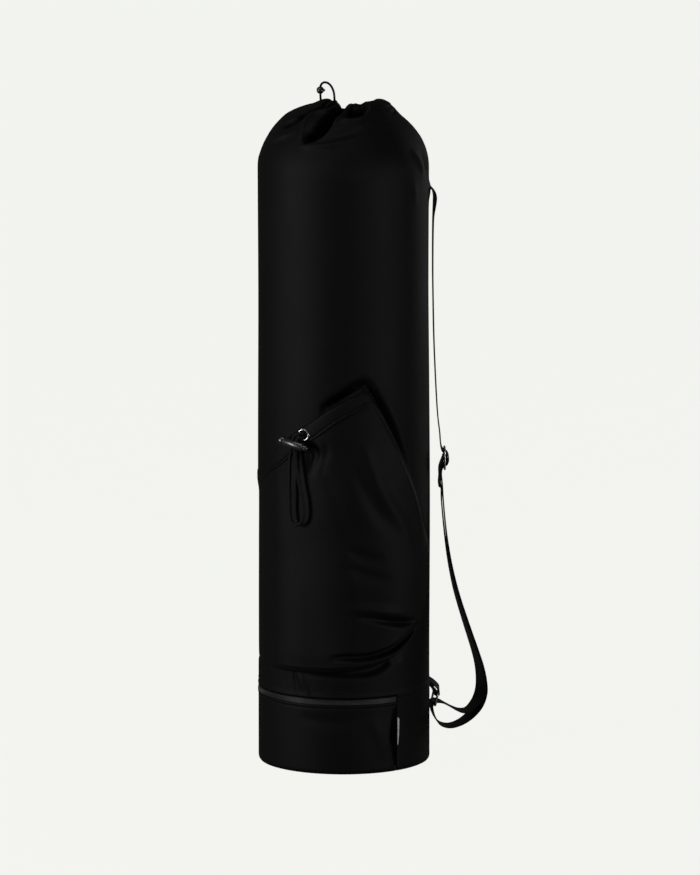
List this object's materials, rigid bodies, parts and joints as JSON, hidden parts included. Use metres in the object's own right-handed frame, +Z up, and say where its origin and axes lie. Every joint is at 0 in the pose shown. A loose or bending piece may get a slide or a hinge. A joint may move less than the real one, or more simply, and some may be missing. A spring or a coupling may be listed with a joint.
{
  "type": "yoga mat bag",
  "caption": "Tall round drawstring yoga mat bag with a gathered top, slanted drawcord pocket, zipped bottom band and an adjustable webbing shoulder strap.",
  "frame": {"origin": "centre of the round base, on the surface the bag stands on", "axes": "+Z up along the bag, -Y towards the side with the pocket, +X towards the strap"},
  "size_m": [0.2448, 0.1982, 0.7267],
  "materials": {
    "cloth_main": "matte woven",
    "zip_tape": "matte twill tape",
    "zip_coil": "satin moulded coil",
    "webbing": "satin ribbed webbing",
    "cord": "braided",
    "black_plastic": "smooth moulded",
    "steel": "polished nickel plate",
    "white_tape": "matte woven tape"
  },
  "bodies": {
    "bag": {"body_shell": "cloth_main", "mouth_casing": "cloth_main", "band_front": "cloth_main", "band_back": "cloth_main", "zip_tape": "zip_tape", "zip_coil": "zip_coil", "base_panel": "cloth_main", "zip_slider": "black_plastic", "side_label": "white_tape", "pocket_pouch": "cloth_main", "pocket_hem": "cloth_main", "pocket_grommet": "steel", "pocket_lock_barrel": "black_plastic", "pocket_cord": "cord", "top_cord": "cord", "top_stopper": "black_plastic", "strap_webbing": "webbing", "strap_slider": "steel", "strap_ring": "steel", "ring_tab": "webbing"},
    "lock_button": {"pocket_lock_button": "black_plastic"}
  },
  "joints": [
    {"name": "lock_press", "type": "slide", "parent": "bag", "child": "lock_button", "axis": [-0.8384, 0.5038, 0.2079], "range_m": [0, 0.004], "stiffness_N_per_m": 300, "springref_m": -0.001}
  ]
}
